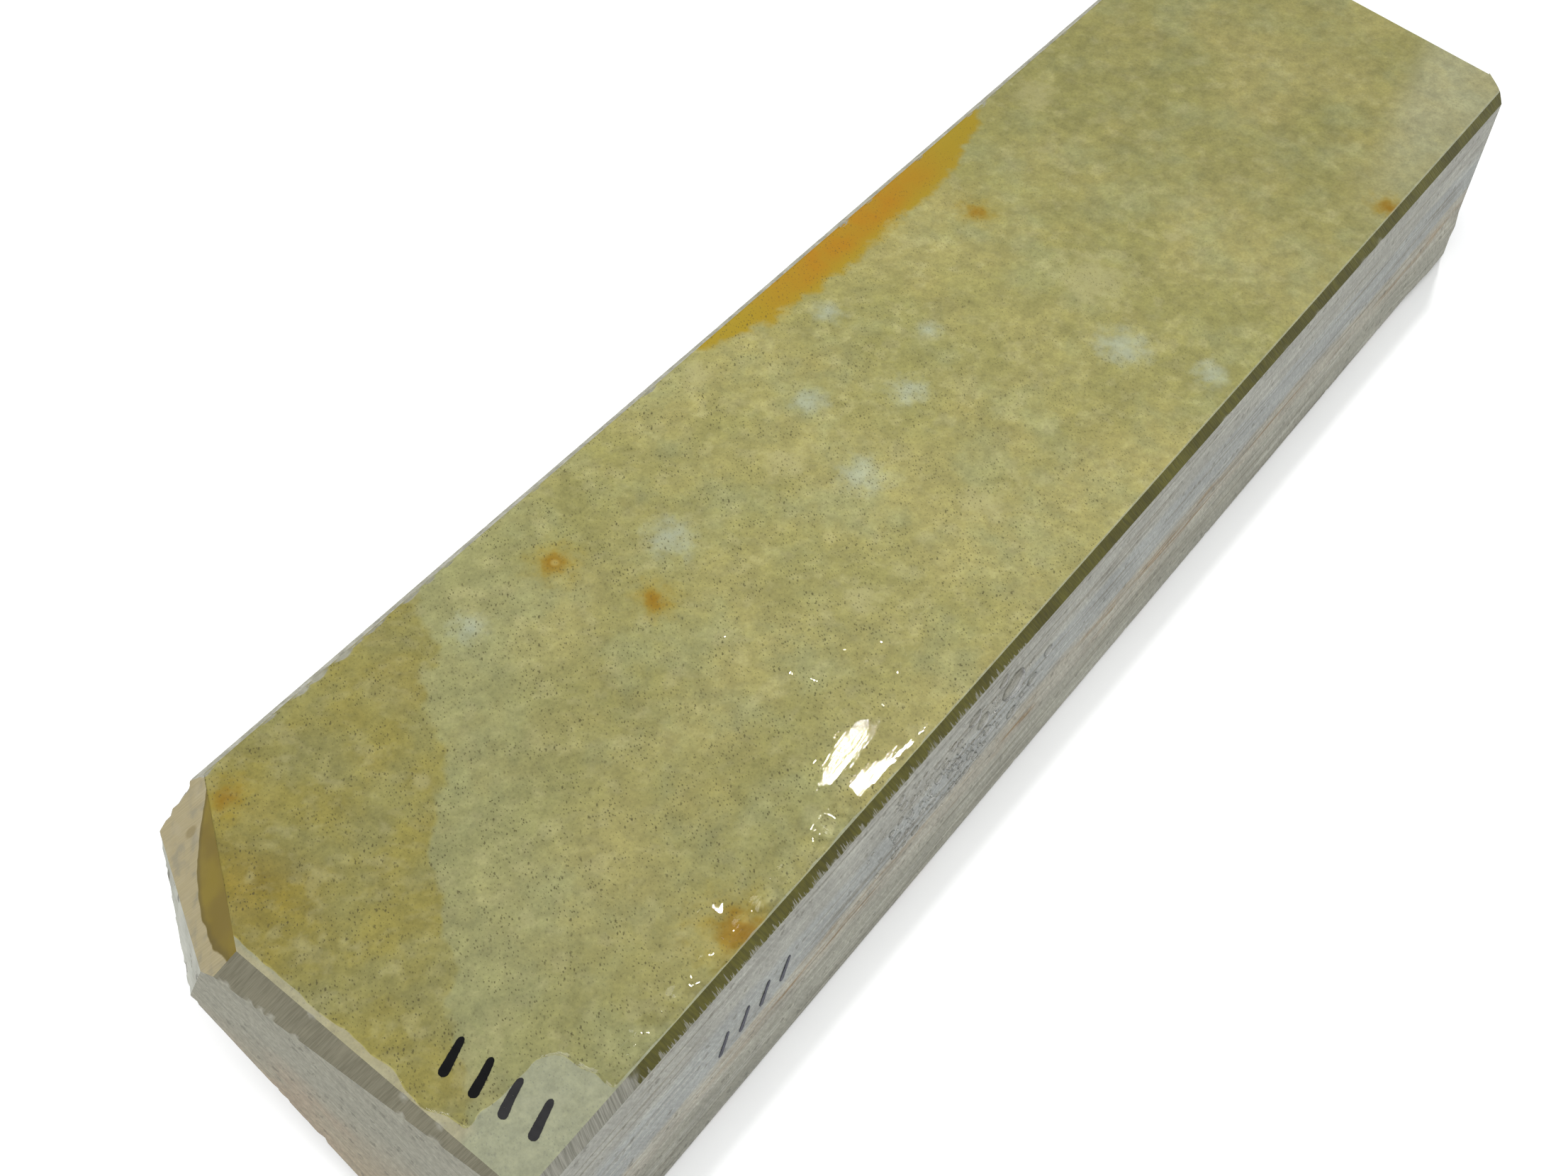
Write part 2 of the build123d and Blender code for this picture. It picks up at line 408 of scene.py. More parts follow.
def bands(edges, gaps):
    """Places between neighbouring edges, with a gap of its own for each stretch."""
    stretches = zip(edges, edges[1:], gaps)
    return [float(v) for low, high, gap in stretches for v in np.arange(low + gap / 2, high, gap)]


def cut(bm, normal, places):
    """Cuts every face of the mesh by planes square to normal, at the places along it."""
    for place in places:
        everything = bm.verts[:] + bm.edges[:] + bm.faces[:]
        point = Vector(normal) * place
        bmesh.ops.bisect_plane(bm, geom=everything, dist=1e-5, plane_co=point, plane_no=normal)


def plain_block():
    """The CAD block in millimetres, with one face for each flat surface, and the list of those surfaces."""
    bm = bmesh.new()
    bm.from_mesh(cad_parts["stone_block"].data)
    bmesh.ops.scale(bm, vec=(1 / MM,) * 3, verts=bm.verts)
    bmesh.ops.remove_doubles(bm, verts=bm.verts, dist=1e-3)
    bmesh.ops.dissolve_limit(bm, angle_limit=math.radians(0.5), verts=bm.verts, edges=bm.edges)
    planes = []
    for face in bm.faces:
        name = surface_name(face.normal)
        planes.append((name, np.array(face.normal), face.normal.dot(face.verts[0].co)))
        face.material_index = MATERIAL_OF[name]
        face.smooth = True
    return bm, planes


# How finely each axis is cut: the gap in the middle, the gap near both ends, and how far the fine gaps reach
CUTS_ALONG = (0.55, 0.35, 3.0)
CUTS_ACROSS = (0.6, 0.28, 2.2)
CUTS_UP = (0.8, 0.25, 2.6)


def build_stone():
    """The stone as one finely meshed piece, with a material for each kind of surface."""
    bm, planes = plain_block()
    cut(bm, (1, 0, 0), steps(NEAR, FAR, *CUTS_ALONG))
    cut(bm, (0, 0, 1), steps(0, TOP, *CUTS_UP))
    cut(bm, (0, 1, 0), steps(RIGHT, LEFT, *CUTS_ACROSS))
    mesh = bpy.data.meshes.new("whetstone")
    bm.to_mesh(mesh)
    bm.free()
    points = np.zeros(len(mesh.vertices) * 3)
    mesh.vertices.foreach_get("co", points)
    shaped, chipped = shape_stone(points.reshape(-1, 3), planes)
    mesh.vertices.foreach_set("co", (shaped * MM).ravel())
    under_water = np.clip(wet_depth(shaped[:, :2], top_outline()), -4, 4)
    for name, values in (("chip", chipped), ("under_water", under_water)):
        mesh.attributes.new(name, "FLOAT", "POINT").data.foreach_set("value", values)
    sharpen(mesh)
    for make in MATERIAL_USES:
        mesh.materials.append(make())
    finish_piece(link(bpy.data.objects.new("whetstone", mesh)), "stone_block")


def sharpen(mesh):
    """Marks each edge whose faces meet at a clear angle as sharp, and shades the rest smooth."""
    bm = bmesh.new()
    bm.from_mesh(mesh)
    for edge in bm.edges:
        edge.smooth = len(edge.link_faces) != 2 or edge.calc_face_angle(0) < SHARP
    bm.to_mesh(mesh)
    bm.free()
    mesh.update()


# ---------------------------------------------------------------- material nodes


class Look:
    """One material's nodes. Its places and sizes are in millimetres in the model's frame."""

    def __init__(self, name):
        self.material = bpy.data.materials.new(name)
        self.material.use_nodes = True
        self.nodes = self.material.node_tree.nodes
        self.shader = self.nodes["Principled BSDF"]
        coordinates = self.nodes.new("ShaderNodeTexCoord").outputs["Object"]
        self.place = self.scaled(coordinates, (1 / MM,) * 3)
        split = self.node("ShaderNodeSeparateXYZ", {0: self.place})
        self.x, self.y, self.z = split.outputs

    def node(self, kind, inputs, **settings):
        """A new node with its inputs linked or set."""
        node = self.nodes.new(kind)
        for name, value in settings.items():
            setattr(node, name, value)
        for key, value in inputs.items():
            self.put(node.inputs[key], value)
        return node

    def put(self, socket, value):
        """Links or sets a socket."""
        if isinstance(value, bpy.types.NodeSocket):
            self.material.node_tree.links.new(value, socket)
        elif socket.type == "RGBA":
            socket.default_value = (*value[:3], 1)
        else:
            socket.default_value = value

    def math(self, operation, *values):
        return self.node("ShaderNodeMath", dict(enumerate(values)), operation=operation).outputs[0]

    def fold(self, operation, values):
        return functools.reduce(lambda first, second: self.math(operation, first, second), values)

    def total(self, *values):
        return self.fold("ADD", values)

    def product(self, *values):
        return self.fold("MULTIPLY", values)

    def largest(self, *values):
        return self.fold("MAXIMUM", values)

    def less(self, first, second):
        return self.math("SUBTRACT", first, second)

    def flipped(self, value):
        return self.less(1.0, value)

    def scaled(self, vector, factors):
        return self.node("ShaderNodeVectorMath", {0: vector, 1: factors}, operation="MULTIPLY").outputs[0]

    def turned(self, degrees, axis="Z"):
        """The place, turned about an axis, so that stretched patterns can run any way."""
        inputs = {"Vector": self.place, "Angle": math.radians(degrees)}
        return self.node("ShaderNodeVectorRotate", inputs, rotation_type=axis + "_AXIS").outputs[0]

    def noise(self, size, detail=2.0, gain=0.5, vector=None, seed=0.0):
        """Noise from 0 to 1. size is in millimetres, one for all axes or one for each."""
        vector = self.place if vector is None else vector
        sizes = size if isinstance(size, tuple) else (size,) * 3
        vector = self.scaled(vector, tuple(1 / s for s in sizes))
        moved = self.node("ShaderNodeVectorMath", {0: vector, 1: (seed, seed / 2, -seed)}, operation="ADD")
        inputs = {"Vector": moved.outputs[0], "Scale": 1.0, "Detail": detail, "Roughness": gain}
        return self.node("ShaderNodeTexNoise", inputs).outputs[0]

    def wander(self, reach, *args, **settings):
        """Noise from -reach / 2 to reach / 2."""
        return self.product(self.less(self.noise(*args, **settings), 0.5), reach)

    def ramp(self, value, low, high, to_low=0.0, to_high=1.0):
        """to_low below low, to_high above high, and smooth between."""
        inputs = {"Value": value, "To Min": to_low, "To Max": to_high}
        if low < high:
            inputs.update({"From Min": low, "From Max": high})
        else:
            inputs.update({"From Min": high, "From Max": low, "To Min": to_high, "To Max": to_low})
        return self.node("ShaderNodeMapRange", inputs, interpolation_type="SMOOTHSTEP").outputs[0]

    def cloud(self, span, *args, **settings):
        """Soft-edged patches of noise: span is the ramp's low and high, and may add what it runs between."""
        return self.ramp(self.noise(*args, **settings), *span)

    def mix(self, factor, first, second):
        """The first colour where factor is 0 and the second where it is 1."""
        inputs = {"Factor": factor, 6: first, 7: second}
        return self.node("ShaderNodeMix", inputs, data_type="RGBA").outputs[2]

    def mottle(self, first, second, span, *args, **settings):
        """Patches of two colours."""
        return self.mix(self.cloud(span, *args, **settings), first, second)

    def tint(self, colour, other, mask, strength):
        """The colour, with some of the other one where the mask is."""
        return self.mix(self.product(mask, strength), colour, other)

    def brighten(self, colour, factor):
        """The colour times a number."""
        return self.node("ShaderNodeVectorMath", {0: colour, "Scale": factor}, operation="SCALE").outputs[0]

    def spot(self, centre, radius, soft=0.5, warp=None):
        """1 inside a round spot in plan and 0 outside. soft is the share of the radius that the edge takes."""
        away = self.node("ShaderNodeVectorMath", {0: self.place, 1: centre}, operation="SUBTRACT")
        level = self.scaled(away.outputs[0], (1, 1, 0))
        length = self.node("ShaderNodeVectorMath", {0: level}, operation="LENGTH").outputs["Value"]
        if warp is not None:
            length = self.total(length, self.product(warp, radius))
        return self.ramp(length, radius * (1 + soft / 2), radius * (1 - soft))

    def specks(self, spacing, radius, share, vector=None, stretch=(1, 1, 1), flat=False):
        """1 on small scattered grains and 0 between them. share is how many of the cells hold a grain.

        flat is for a surface across Z only, which then gets a grain in each such cell.
        """
        vector = self.place if vector is None else vector
        inputs = {"Vector": self.scaled(vector, tuple(s / spacing for s in stretch)), "Scale": 1.0}
        cells = self.node("ShaderNodeTexVoronoi", inputs, voronoi_dimensions="2D" if flat else "3D")
        pick = self.node("ShaderNodeSeparateXYZ", {0: cells.outputs["Color"]})
        size = self.product(self.ramp(pick.outputs[1], 0, 1, 0.45, 1.2), radius / spacing)
        ragged = self.product(cells.outputs["Distance"], self.cloud((0.3, 0.7, 0.6, 1.4), radius, 1.0))
        grain = self.math("LESS_THAN", ragged, size)
        return self.product(grain, self.math("LESS_THAN", pick.outputs[0], share))

    def bump(self, height, depth_mm):
        """Gives the shader a bumpy normal: height 1 stands depth_mm above height 0."""
        inputs = {"Height": height, "Distance": depth_mm * MM, "Strength": 1.0}
        normal = self.node("ShaderNodeBump", inputs).outputs[0]
        self.put(self.shader.inputs["Normal"], normal)

    def finish(self, colour, roughness, wet=None):
        """Joins colour and roughness to the shader. wet is where a clear coat of water lies."""
        self.put(self.shader.inputs["Base Color"], self.brighten(colour, ALBEDO))
        self.put(self.shader.inputs["Roughness"], roughness)
        self.shader.inputs["Specular IOR Level"].default_value = 0.35
        if wet is not None:
            self.put(self.shader.inputs["Coat Weight"], wet)
            self.shader.inputs["Coat Roughness"].default_value = 0.06
            self.shader.inputs["Coat IOR"].default_value = 1.33
        return self.material

    def painted(self, name):
        """The number that the mesh holds under a name for each of its points."""
        return self.node("ShaderNodeAttribute", {}, attribute_name=name).outputs["Fac"]

    def chipped(self, colour, pale=(0.52, 0.51, 0.42), strength=0.8):
        """The colour, with chips showing pale broken rock."""
        broken = self.mix(self.noise(0.5, 3.0), pale, tuple(0.6 * c for c in pale))
        return self.tint(colour, broken, self.painted("chip"), strength)


# ---------------------------------------------------------------- the rock's own colours, wet and dry

# The colours below are as seen in bright light, and this share of them is the rock's own
ALBEDO = 0.76

TAN = (0.415, 0.376, 0.142)
OLIVE = (0.345, 0.325, 0.112)
GREEN_GREY = (0.375, 0.378, 0.178)
YELLOW = (0.345, 0.288, 0.045)
PALE = (0.520, 0.485, 0.245)
BLUE = (0.52, 0.59, 0.52)
RUST = (0.47, 0.23, 0.0)
OCHRE = (0.42, 0.300, 0.012)
DARK_GRAIN = (0.085, 0.070, 0.022)
DRY_GREEN = (0.315, 0.33, 0.24)
DRY_LIP = (0.40, 0.37, 0.255)

# Where the yellow zone ends, along the stone less across it, and each kind of spot: its place and its radius
ZONE_LINE = -83.8
RUST_SPOTS = (
    ((27.8, 14.4), 1.5), ((-48.0, 17.2), 1.7), ((-45.3, 6.2), 1.5),
    ((63.0, -24.4), 1.5), ((-89.8, 22.0), 1.6), ((-71.0, -24.0), 2.6),
)
BLUE_SPOTS = (
    ((1.4, 17.7), 1.7), ((-11.8, 10.7), 1.8), ((-37.6, 10.2), 2.5),
    ((-17.2, -0.1), 2.5), ((19.2, -11.5), 3.0), ((22.0, -21.8), 2.0),
    ((6.7, 7.1), 1.3), ((-60.0, 18.0), 1.9), ((-3.0, 3.2), 2.2),
)
PALE_SPOTS = (
    ((26.6, -2.7), 4.6), ((-16.4, 23.1), 2.0), ((-21.0, 7.4), 2.2),
    ((-76.9, 9.4), 1.0), ((40.0, -6.3), 1.3), ((22.3, 21.7), 1.1),
    ((-31.2, -10.0), 2.2), ((-12.2, -12.2), 2.6), ((52.4, 21.4), 3.0),
)


def spots(look, places, warp, soft, scale=1.0):
    """One mask for a list of spots on the working face, each scale times as large as listed."""
    return look.largest(*[look.spot((*place, 0), r * scale, soft, warp=warp) for place, r in places])


def dry_margin(look):
    """1 where the working face has dried: one corner, and a scalloped lip along the near edge."""
    return look.ramp(look.painted("under_water"), 0.05, -0.05)


def zones(look):
    """The working face's broad colours: olive and tan, yellow at its near left and pale at its far right."""
    colour = look.mottle(OLIVE, TAN, (0.36, 0.64), (24, 16, 16), 3.0)
    cloud = look.cloud((0.45, 0.7), 7.5, 4.0, 0.6, seed=3.0)
    colour = look.tint(colour, GREEN_GREY, cloud, 0.7)
    line = look.total(look.less(look.x, look.y), look.wander(11.0, 6.5, 3.0, seed=8.0))
    beside = look.ramp(line, ZONE_LINE + 26, ZONE_LINE)
    colour = look.tint(colour, GREEN_GREY, beside, 0.7)
    yellow = look.ramp(line, ZONE_LINE + 0.6, ZONE_LINE - 0.6)
    golden = look.mottle(YELLOW, (0.325, 0.295, 0.085), (0.38, 0.62), 7, 3.0, seed=5.0)
    colour = look.tint(colour, golden, yellow, 0.75)
    patchy = look.cloud((0.3, 0.7, 0.45, 1.0), 5.0, 3.0, seed=15.0)
    corner = look.product(look.spot((-99.5, 13.5, 0), 9, 1.0), patchy)
    colour = look.mix(corner, colour, (0.285, 0.200, 0.0))
    edge = look.total(look.y, look.product(look.x, -0.2), look.product(look.noise(9, 2.0, seed=16.0), 3.0))
    pale = look.product(look.ramp(edge, -29.0, -34.5), look.ramp(look.x, 50, 84))
    colour = look.tint(colour, (0.50, 0.50, 0.36), pale, 0.5)
    warm = look.cloud((0.52, 0.72), 11, 3.0, 0.6, seed=21.0)
    return look.tint(colour, (0.43, 0.36, 0.125), warm, 0.25)


def stains(look, colour):
    """The pale and the blue spots, the rust band, and the rust spots with their dark hearts."""
    warp = look.wander(2.2, 1.6, 3.0, 0.6, seed=6.0)
    colour = look.tint(colour, PALE, spots(look, PALE_SPOTS, warp, 0.7), 0.5)
    colour = look.tint(colour, BLUE, spots(look, BLUE_SPOTS, warp, 1.1), 0.5)
    colour = look.mix(rust_band(look, warp), colour, rust_colour(look))
    colour = look.tint(colour, OCHRE, spots(look, RUST_SPOTS, warp, 1.3, 1.5), 0.85)
    colour = look.tint(colour, (0.34, 0.185, 0.0), spots(look, RUST_SPOTS, warp, 1.0, 0.8), 0.95)
    ring = look.spot((*RUST_SPOTS[1][0], 0), 0.5, 0.6)
    return look.tint(colour, (0.52, 0.42, 0.12), ring, 0.7)


def rock(look):
    """The wet rock's colour on the working face, with painted shade towards both its ends."""
    colour = stains(look, blotches(look, zones(look)))
    # Painted shade: the colour is darkened towards the near end and towards the far end, for light that falls
    # off there.
    shade = look.product(look.ramp(look.x, -100, -10, 0.88, 1.05), look.ramp(look.x, 10, 70, 1.0, 0.88))
    return grains(look, look.brighten(colour, shade))


def blotches(look, colour):
    """Pale traces and blotches a few millimetres across, and a fine mottle."""
    layers = ((2.6, 0, 2.0, 0.34), ((1.3, 2.5, 3), -24, 12.0, 0.18), ((2.6, 1.4, 3), 35, 22.0, 0.18))
    for size, degrees, seed, strength in layers:
        traces = look.cloud((0.54, 0.70), size, 3.0, 0.5, vector=look.turned(degrees), seed=seed)
        colour = look.tint(colour, PALE, traces, strength)
    for size, seed, depth in ((4.5, 24.0, 0.09), (1.4, 4.0, 0.13), (0.4, 14.0, 0.10)):
        span = (0.25, 0.75, 1 - depth, 1 + depth)
        colour = look.brighten(colour, look.cloud(span, size, 3.0, 0.6, seed=seed))
    return colour


def rust_band(look, warp):
    """1 on the rust-stained band along the left edge."""
    offset = look.math("DIVIDE", look.less(look.x, 16.0), 28.0)
    ends = look.product(look.math("POWER", look.math("ABSOLUTE", offset), 4.0), 4.2)
    lobes = look.wander(5.0, 5.5, 3.0, 0.6, seed=19.0)
    depth = look.less(look.y, look.total(ends, 20.4, lobes, look.product(warp, 0.9)))
    return look.ramp(depth, -0.6, 0.8)


def rust_colour(look):
    """Deep orange in the middle of the band, paler ochre towards its ends."""
    middle = look.ramp(look.math("ABSOLUTE", look.less(look.x, 15.0)), 24, 6)
    patchy = look.cloud((0.3, 0.7, 0.55, 1.0), 3.5, 3.0, 0.6, seed=9.0)
    deep = look.product(middle, patchy, look.ramp(look.y, 20.5, 23.2))
    return look.mix(deep, OCHRE, RUST)


def grains(look, colour):
    """The small dark grains, thick at the near end and along one side, and rare at the far end."""
    clump = look.cloud((0.38, 0.6, 0.3, 1.0), 3.5, 3.0, 0.6, seed=7.0)
    fading = look.ramp(look.x, 60, -30, 0.25, 1.0)
    fine = look.specks(0.36, 0.052, 0.9, vector=look.turned(28), stretch=(1.0, 0.6, 1.0), flat=True)
    coarse = look.specks(0.8, 0.075, 0.5, vector=look.turned(-40), stretch=(0.5, 1.0, 1.0), flat=True)
    amount = look.product(look.largest(fine, coarse), clump, fading, 0.8)
    return look.mix(amount, colour, DARK_GRAIN)


def working_face_look():
    """The working face: wet rock, and dry rock in one corner."""
    look = Look("working_face")
    colour = rock(look)
    dry = dry_margin(look)
    lip = look.ramp(look.x, NEAR + 3.2, NEAR + 2.4)
    pale = look.mix(look.product(lip, look.ramp(look.y, -19.0, -17.5)), DRY_GREEN, DRY_LIP)
    pale = look.mix(0.4, pale, look.brighten(colour, 0.74))
    pale = look.brighten(pale, look.cloud((0.25, 0.75, 0.84, 1.14), 0.8, 4.0, 0.7))
    colour = look.mix(dry, colour, pale)
    colour = look.chipped(colour, strength=0.6)
    look.bump(look.noise((0.5, 0.16, 0.3), 3.0, 0.6), 0.012)
    return look.finish(colour, 0.62)


LIGHT_GREY = (0.365, 0.362, 0.312)
BLUE_GREY = (0.350, 0.362, 0.337)
SEAM_BEIGE = (0.385, 0.365, 0.295)
SEAM_BROWN = (0.27, 0.19, 0.10)
OLIVE_GREY = (0.345, 0.338, 0.272)


def beds(look):
    """The dry rock's beds as the sides cut them: grey, blue-grey, beige with brown seams, and olive-grey."""
    lift = look.wander(5.0, (30, 20, 12), 3.0, seed=31.0)
    fray = look.wander(2.2, (4, 4, 0.8), 3.0, 0.6, seed=32.0)
    height = look.total(look.z, lift, fray)
    colour = look.mix(look.ramp(height, 7.0, 9.0), OLIVE_GREY, SEAM_BEIGE)
    colour = look.mix(look.ramp(height, 12.0, 13.4), colour, BLUE_GREY)
    colour = look.mix(look.ramp(height, 18.2, 20.2), colour, LIGHT_GREY)
    lines = look.noise((26, 26, 0.55), 3.0, 0.55, seed=33.0)
    colour = look.tint(colour, (0.20, 0.18, 0.13), look.ramp(lines, 0.55, 0.67), 0.65)
    colour = look.tint(colour, (0.50, 0.49, 0.42), look.ramp(lines, 0.45, 0.33), 0.5)
    seam = look.product(look.ramp(height, 8.2, 9.2), look.ramp(height, 12.6, 11.4))
    streaks = look.cloud((0.5, 0.66), (11, 11, 0.7), 4.0, 0.6, seed=34.0)
    brown = look.product(seam, streaks, look.cloud((0.42, 0.62, 0.3, 1.0), (30, 30, 9), 2.0, seed=35.0))
    colour = look.mix(brown, colour, SEAM_BROWN)
    cloud = look.noise((9, 9, 3.2), 4.0, 0.6, seed=36.0)
    return look.brighten(colour, look.ramp(cloud, 0.25, 0.75, 0.84, 1.14))


def dust(look, colour, seed=0.0):
    """Fine dry texture: pale dust and dark pits."""
    fine = look.noise(0.55, 4.0, 0.7, seed=seed)
    colour = look.brighten(colour, look.ramp(fine, 0.25, 0.75, 0.8, 1.18))
    pits = look.specks(1.1, 0.3, 0.35)
    return look.tint(colour, (0.12, 0.11, 0.08), pits, 0.45)


def long_side_look():
    """A dry sawn side with its beds, and painted shade towards its foot at the near end."""
    look = Look("sawn_side")
    colour = dust(look, beds(look))
    scratch = look.noise((0.25, 3.0, 3.0), 2.0, 0.5, vector=look.turned(32, "Y"), seed=41.0)
    colour = look.brighten(colour, look.ramp(scratch, 0.3, 0.7, 0.94, 1.06))
    # Painted shade: the colour darkens by up to 14 percent towards the foot of the near end.
    painted_shade_foot = look.total(look.x, look.product(look.z, 4.0))
    colour = look.brighten(colour, look.ramp(painted_shade_foot, -75, -30, 0.86, 1.0))
    colour = look.chipped(colour, strength=0.45)
    grain = look.noise((1.2, 1.2, 0.4), 5.0, 0.7, seed=42.0)
    look.bump(look.total(grain, look.product(scratch, 0.4)), 0.09)
    return look.finish(colour, 0.75)


def end_look():
    """A dry end with fine diagonal brush marks."""
    look = Look("brushed_end")
    colour = look.mix(look.ramp(look.z, 6, 20), (0.36, 0.305, 0.21), (0.305, 0.295, 0.228))
    pink = look.cloud((0.46, 0.68), (10, 10, 5), 3.0, seed=51.0)
    colour = look.mix(look.product(pink, look.ramp(look.z, 22, 12), 0.6), colour, (0.36, 0.28, 0.195))
    marks = look.noise((3.0, 5.0, 0.28), 3.0, 0.6, vector=look.turned(-28, "X"), seed=52.0)
    colour = look.brighten(colour, look.ramp(marks, 0.25, 0.75, 0.86, 1.12))
    colour = look.chipped(dust(look, colour, 53.0), strength=0.45)
    look.bump(look.total(marks, look.noise(0.5, 4.0, 0.7)), 0.06)
    return look.finish(colour, 0.72)


def near_chamfer_look():
    """The ground arris of the near end: dark grey-brown with slanted scratches and pale nicks."""
    look = Look("ground_arris")
    marks = look.noise((2.6, 0.13, 2.6), 3.0, 0.6, vector=look.turned(24), seed=61.0)
    colour = look.mix(look.ramp(marks, 0.3, 0.7), (0.132, 0.121, 0.078), (0.195, 0.180, 0.124))
    colour = look.tint(colour, (0.24, 0.22, 0.15), look.cloud((0.5, 0.7), 3.0, 2.0), 0.3)
    colour = look.chipped(colour, strength=1.0)
    look.bump(marks, 0.025)
    return look.finish(colour, 0.6)


def right_chamfer_look():
    """The right arris: wet dark olive, with pale scratched teeth on its foot, and dry at its near end."""
    look = Look("wet_arris")
    fade = look.mottle((0.062, 0.055, 0.003), (0.088, 0.080, 0.008), (0.35, 0.65), 6.0, 3.0)
    marks = look.noise((0.22, 1.6, 1.6), 2.0, 0.6, vector=look.turned(14, "Y"), seed=71.0)
    fade = look.brighten(fade, look.ramp(marks, 0.3, 0.7, 0.8, 1.25))
    rise = look.less(look.z, TOP - 1.0)
    ragged = look.product(look.cloud((0.42, 0.8), (0.3, 6, 6), 2.0, 0.7, seed=72.0), 0.8)
    patchy = look.ramp(look.x, -18, -34)
    tooth = look.math("LESS_THAN", rise, look.product(ragged, patchy))
    ridged = look.noise((0.16, 2.5, 2.5), 2.0, 0.5, vector=look.turned(-19, "Y"), seed=73.0)
    bare = look.mix(look.ramp(ridged, 0.3, 0.7), (0.17, 0.165, 0.13), (0.30, 0.29, 0.24))
    dried = look.ramp(look.total(look.x, look.product(look.noise(1.5), 3.0)), -86.0, -87.2)
    dry = look.largest(dried, look.product(tooth, 0.8))
    colour = look.mix(dry, fade, bare)
    colour = look.chipped(colour, (0.42, 0.42, 0.36), 0.7)
    look.bump(look.total(look.product(ridged, dried, 2.0), marks), 0.05)
    return look.finish(colour, look.ramp(dry, 0, 1, 0.4, 0.7), look.product(look.flipped(dry), 0.12))


def left_chamfer_look():
    """The left and far arrises: pale, dry and worn."""
    look = Look("worn_arris")
    colour = look.mottle((0.29, 0.28, 0.205), (0.40, 0.39, 0.32), (0.35, 0.65), 2.2, 4.0, 0.6)
    colour = look.chipped(dust(look, colour), strength=0.7)
    look.bump(look.noise(0.45, 4.0, 0.7), 0.06)
    return look.finish(colour, 0.65)


def bevel_look():
    """The near left bevel: dry beige with grind lines, and a wet ochre crescent under its upper edge."""
    look = Look("bevel")
    marks = look.noise((0.12, 3.5, 3.5), 3.0, 0.6, vector=look.turned(-52), seed=81.0)
    dry = look.mix(look.ramp(marks, 0.2, 0.8), (0.31, 0.26, 0.14), (0.39, 0.33, 0.19))
    dry = look.tint(dry, (0.20, 0.19, 0.145), look.cloud((0.5, 0.7), 1.8, 3.0, seed=83.0), 0.5)
    dry = look.tint(dry, (0.40, 0.35, 0.24), look.cloud((0.5, 0.72), 2.5, 3.0), 0.5)
    wander = look.wander(0.9, 2.5, 2.0, seed=82.0)
    # The crescent is deepest by the middle of the bevel and runs out at both its ends
    along = look.math("DIVIDE", look.less(look.y, 16.0), 8.2)
    reach = look.product(look.less(1.0, look.product(along, along)), 2.4)
    below = look.less(TOP, look.z)
    inside = look.less(look.total(reach, wander), below)
    wet = look.ramp(inside, -0.06, 0.06)
    rim = look.product(look.ramp(inside, 0.55, 0.05), wet)
    ochre = look.mottle((0.155, 0.105, 0.000), (0.195, 0.138, 0.000), (0.35, 0.65), 4.0, 3.0)
    ochre = look.tint(ochre, (0.085, 0.058, 0.002), rim, 0.6)
    drop = look.spot((-93.6, 22.9, 0), 0.6, 0.4)
    colour = look.tint(look.mix(wet, dry, ochre), (0.20, 0.15, 0.055), drop, 0.6)
    colour = look.chipped(colour, strength=0.75)
    look.bump(look.product(marks, look.flipped(wet)), 0.03)
    return look.finish(colour, look.ramp(wet, 0, 1, 0.7, 0.5), look.product(wet, 0.05))


def facet_look():
    """The near left facet: pale dry rock with a few dark grains."""
    look = Look("facet")
    colour = look.mottle((0.395, 0.395, 0.33), (0.50, 0.50, 0.43), (0.35, 0.65), 4.0, 4.0, 0.6)
    marks = look.noise((2.2, 2.2, 0.3), 3.0, 0.6, vector=look.turned(30, "X"), seed=91.0)
    colour = look.brighten(colour, look.ramp(marks, 0.25, 0.75, 0.9, 1.08))
    grain = look.specks(1.7, 0.5, 0.35)
    colour = look.tint(colour, (0.12, 0.11, 0.08), grain, 0.75)
    look.bump(look.total(marks, look.noise(0.5, 4.0)), 0.05)
    return look.finish(look.chipped(colour), 0.72)


def skin_look():
    """The natural skin underneath: grey-brown, lumpy, with rusty and pale patches."""
    look = Look("natural_skin")
    colour = look.mottle((0.235, 0.205, 0.145), (0.40, 0.37, 0.295), (0.35, 0.65), 9.0, 4.0, 0.6)
    rusty = look.cloud((0.54, 0.7), 14.0, 4.0, 0.6, seed=95.0)
    colour = look.tint(colour, (0.28, 0.155, 0.06), rusty, 0.7)
    pale = look.cloud((0.58, 0.74), 3.0, 5.0, 0.65, seed=96.0)
    colour = look.tint(colour, (0.52, 0.50, 0.42), pale, 0.7)
    look.bump(look.noise(1.6, 6.0, 0.68), 0.45)
    return look.finish(look.chipped(dust(look, colour, 97.0), strength=0.5), 0.85)


MATERIAL_USES = {
    working_face_look: ("top",),
    long_side_look: (
        "right_side", "left_side", "far_end", "far_right_clip", "far_left_clip", "near_right_clip",
    ),
    end_look: ("near_end",),
    near_chamfer_look: ("near_chamfer",),
    right_chamfer_look: ("right_chamfer",),
    left_chamfer_look: ("left_chamfer", "far_chamfer"),
    bevel_look: ("bevel",),
    facet_look: ("facet",),
    skin_look: ("skin", "underside", "right_base", "near_base"),
}
MATERIAL_OF = {name: index for index, names in enumerate(MATERIAL_USES.values()) for name in names}


# ---------------------------------------------------------------- water and ink


